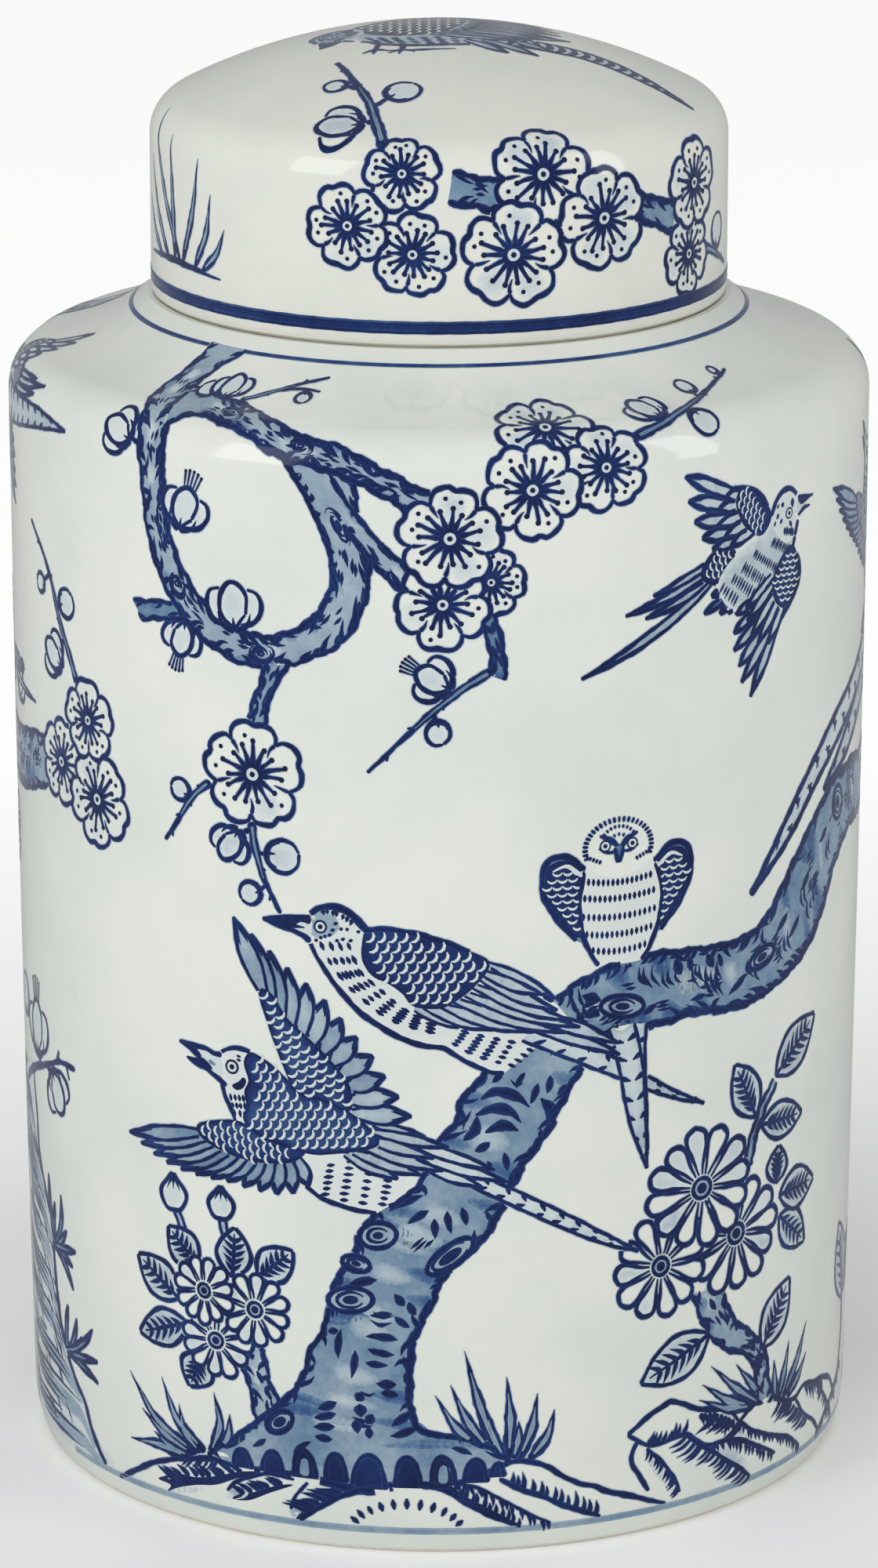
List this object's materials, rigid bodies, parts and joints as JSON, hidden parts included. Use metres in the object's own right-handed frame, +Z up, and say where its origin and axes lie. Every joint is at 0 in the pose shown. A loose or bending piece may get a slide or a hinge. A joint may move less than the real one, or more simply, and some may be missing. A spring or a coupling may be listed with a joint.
{
  "type": "ginger jar",
  "caption": "Straight-sided porcelain ginger jar with a round shoulder, a short hidden neck and a domed cap lid that lifts off, for storage or display.",
  "frame": {"origin": "centre of the foot ring's resting face, on the jar's axis", "axes": "+Z up along the jar's axis of revolution, -Y towards the viewer of the painted front"},
  "size_m": [0.2028, 0.2028, 0.342],
  "materials": {
    "biscuit_porcelain": "unglazed fired porcelain, matt",
    "outer_glaze": "glossy cool white glaze over cobalt blue brushwork",
    "inner_glaze": "glossy plain white glaze"
  },
  "bodies": {
    "jar": {"jar_body": "biscuit_porcelain", "jar_outer_glaze": "outer_glaze", "jar_inner_glaze": "inner_glaze", "jar_base_glaze": "inner_glaze"},
    "lid": {"lid": "biscuit_porcelain", "lid_outer_glaze": "outer_glaze", "lid_inner_glaze": "inner_glaze"}
  },
  "joints": [
    {"name": "lid_lift", "type": "slide", "parent": "jar", "child": "lid", "axis": [0, 0, 1], "range_m": [0, 0.15]}
  ]
}
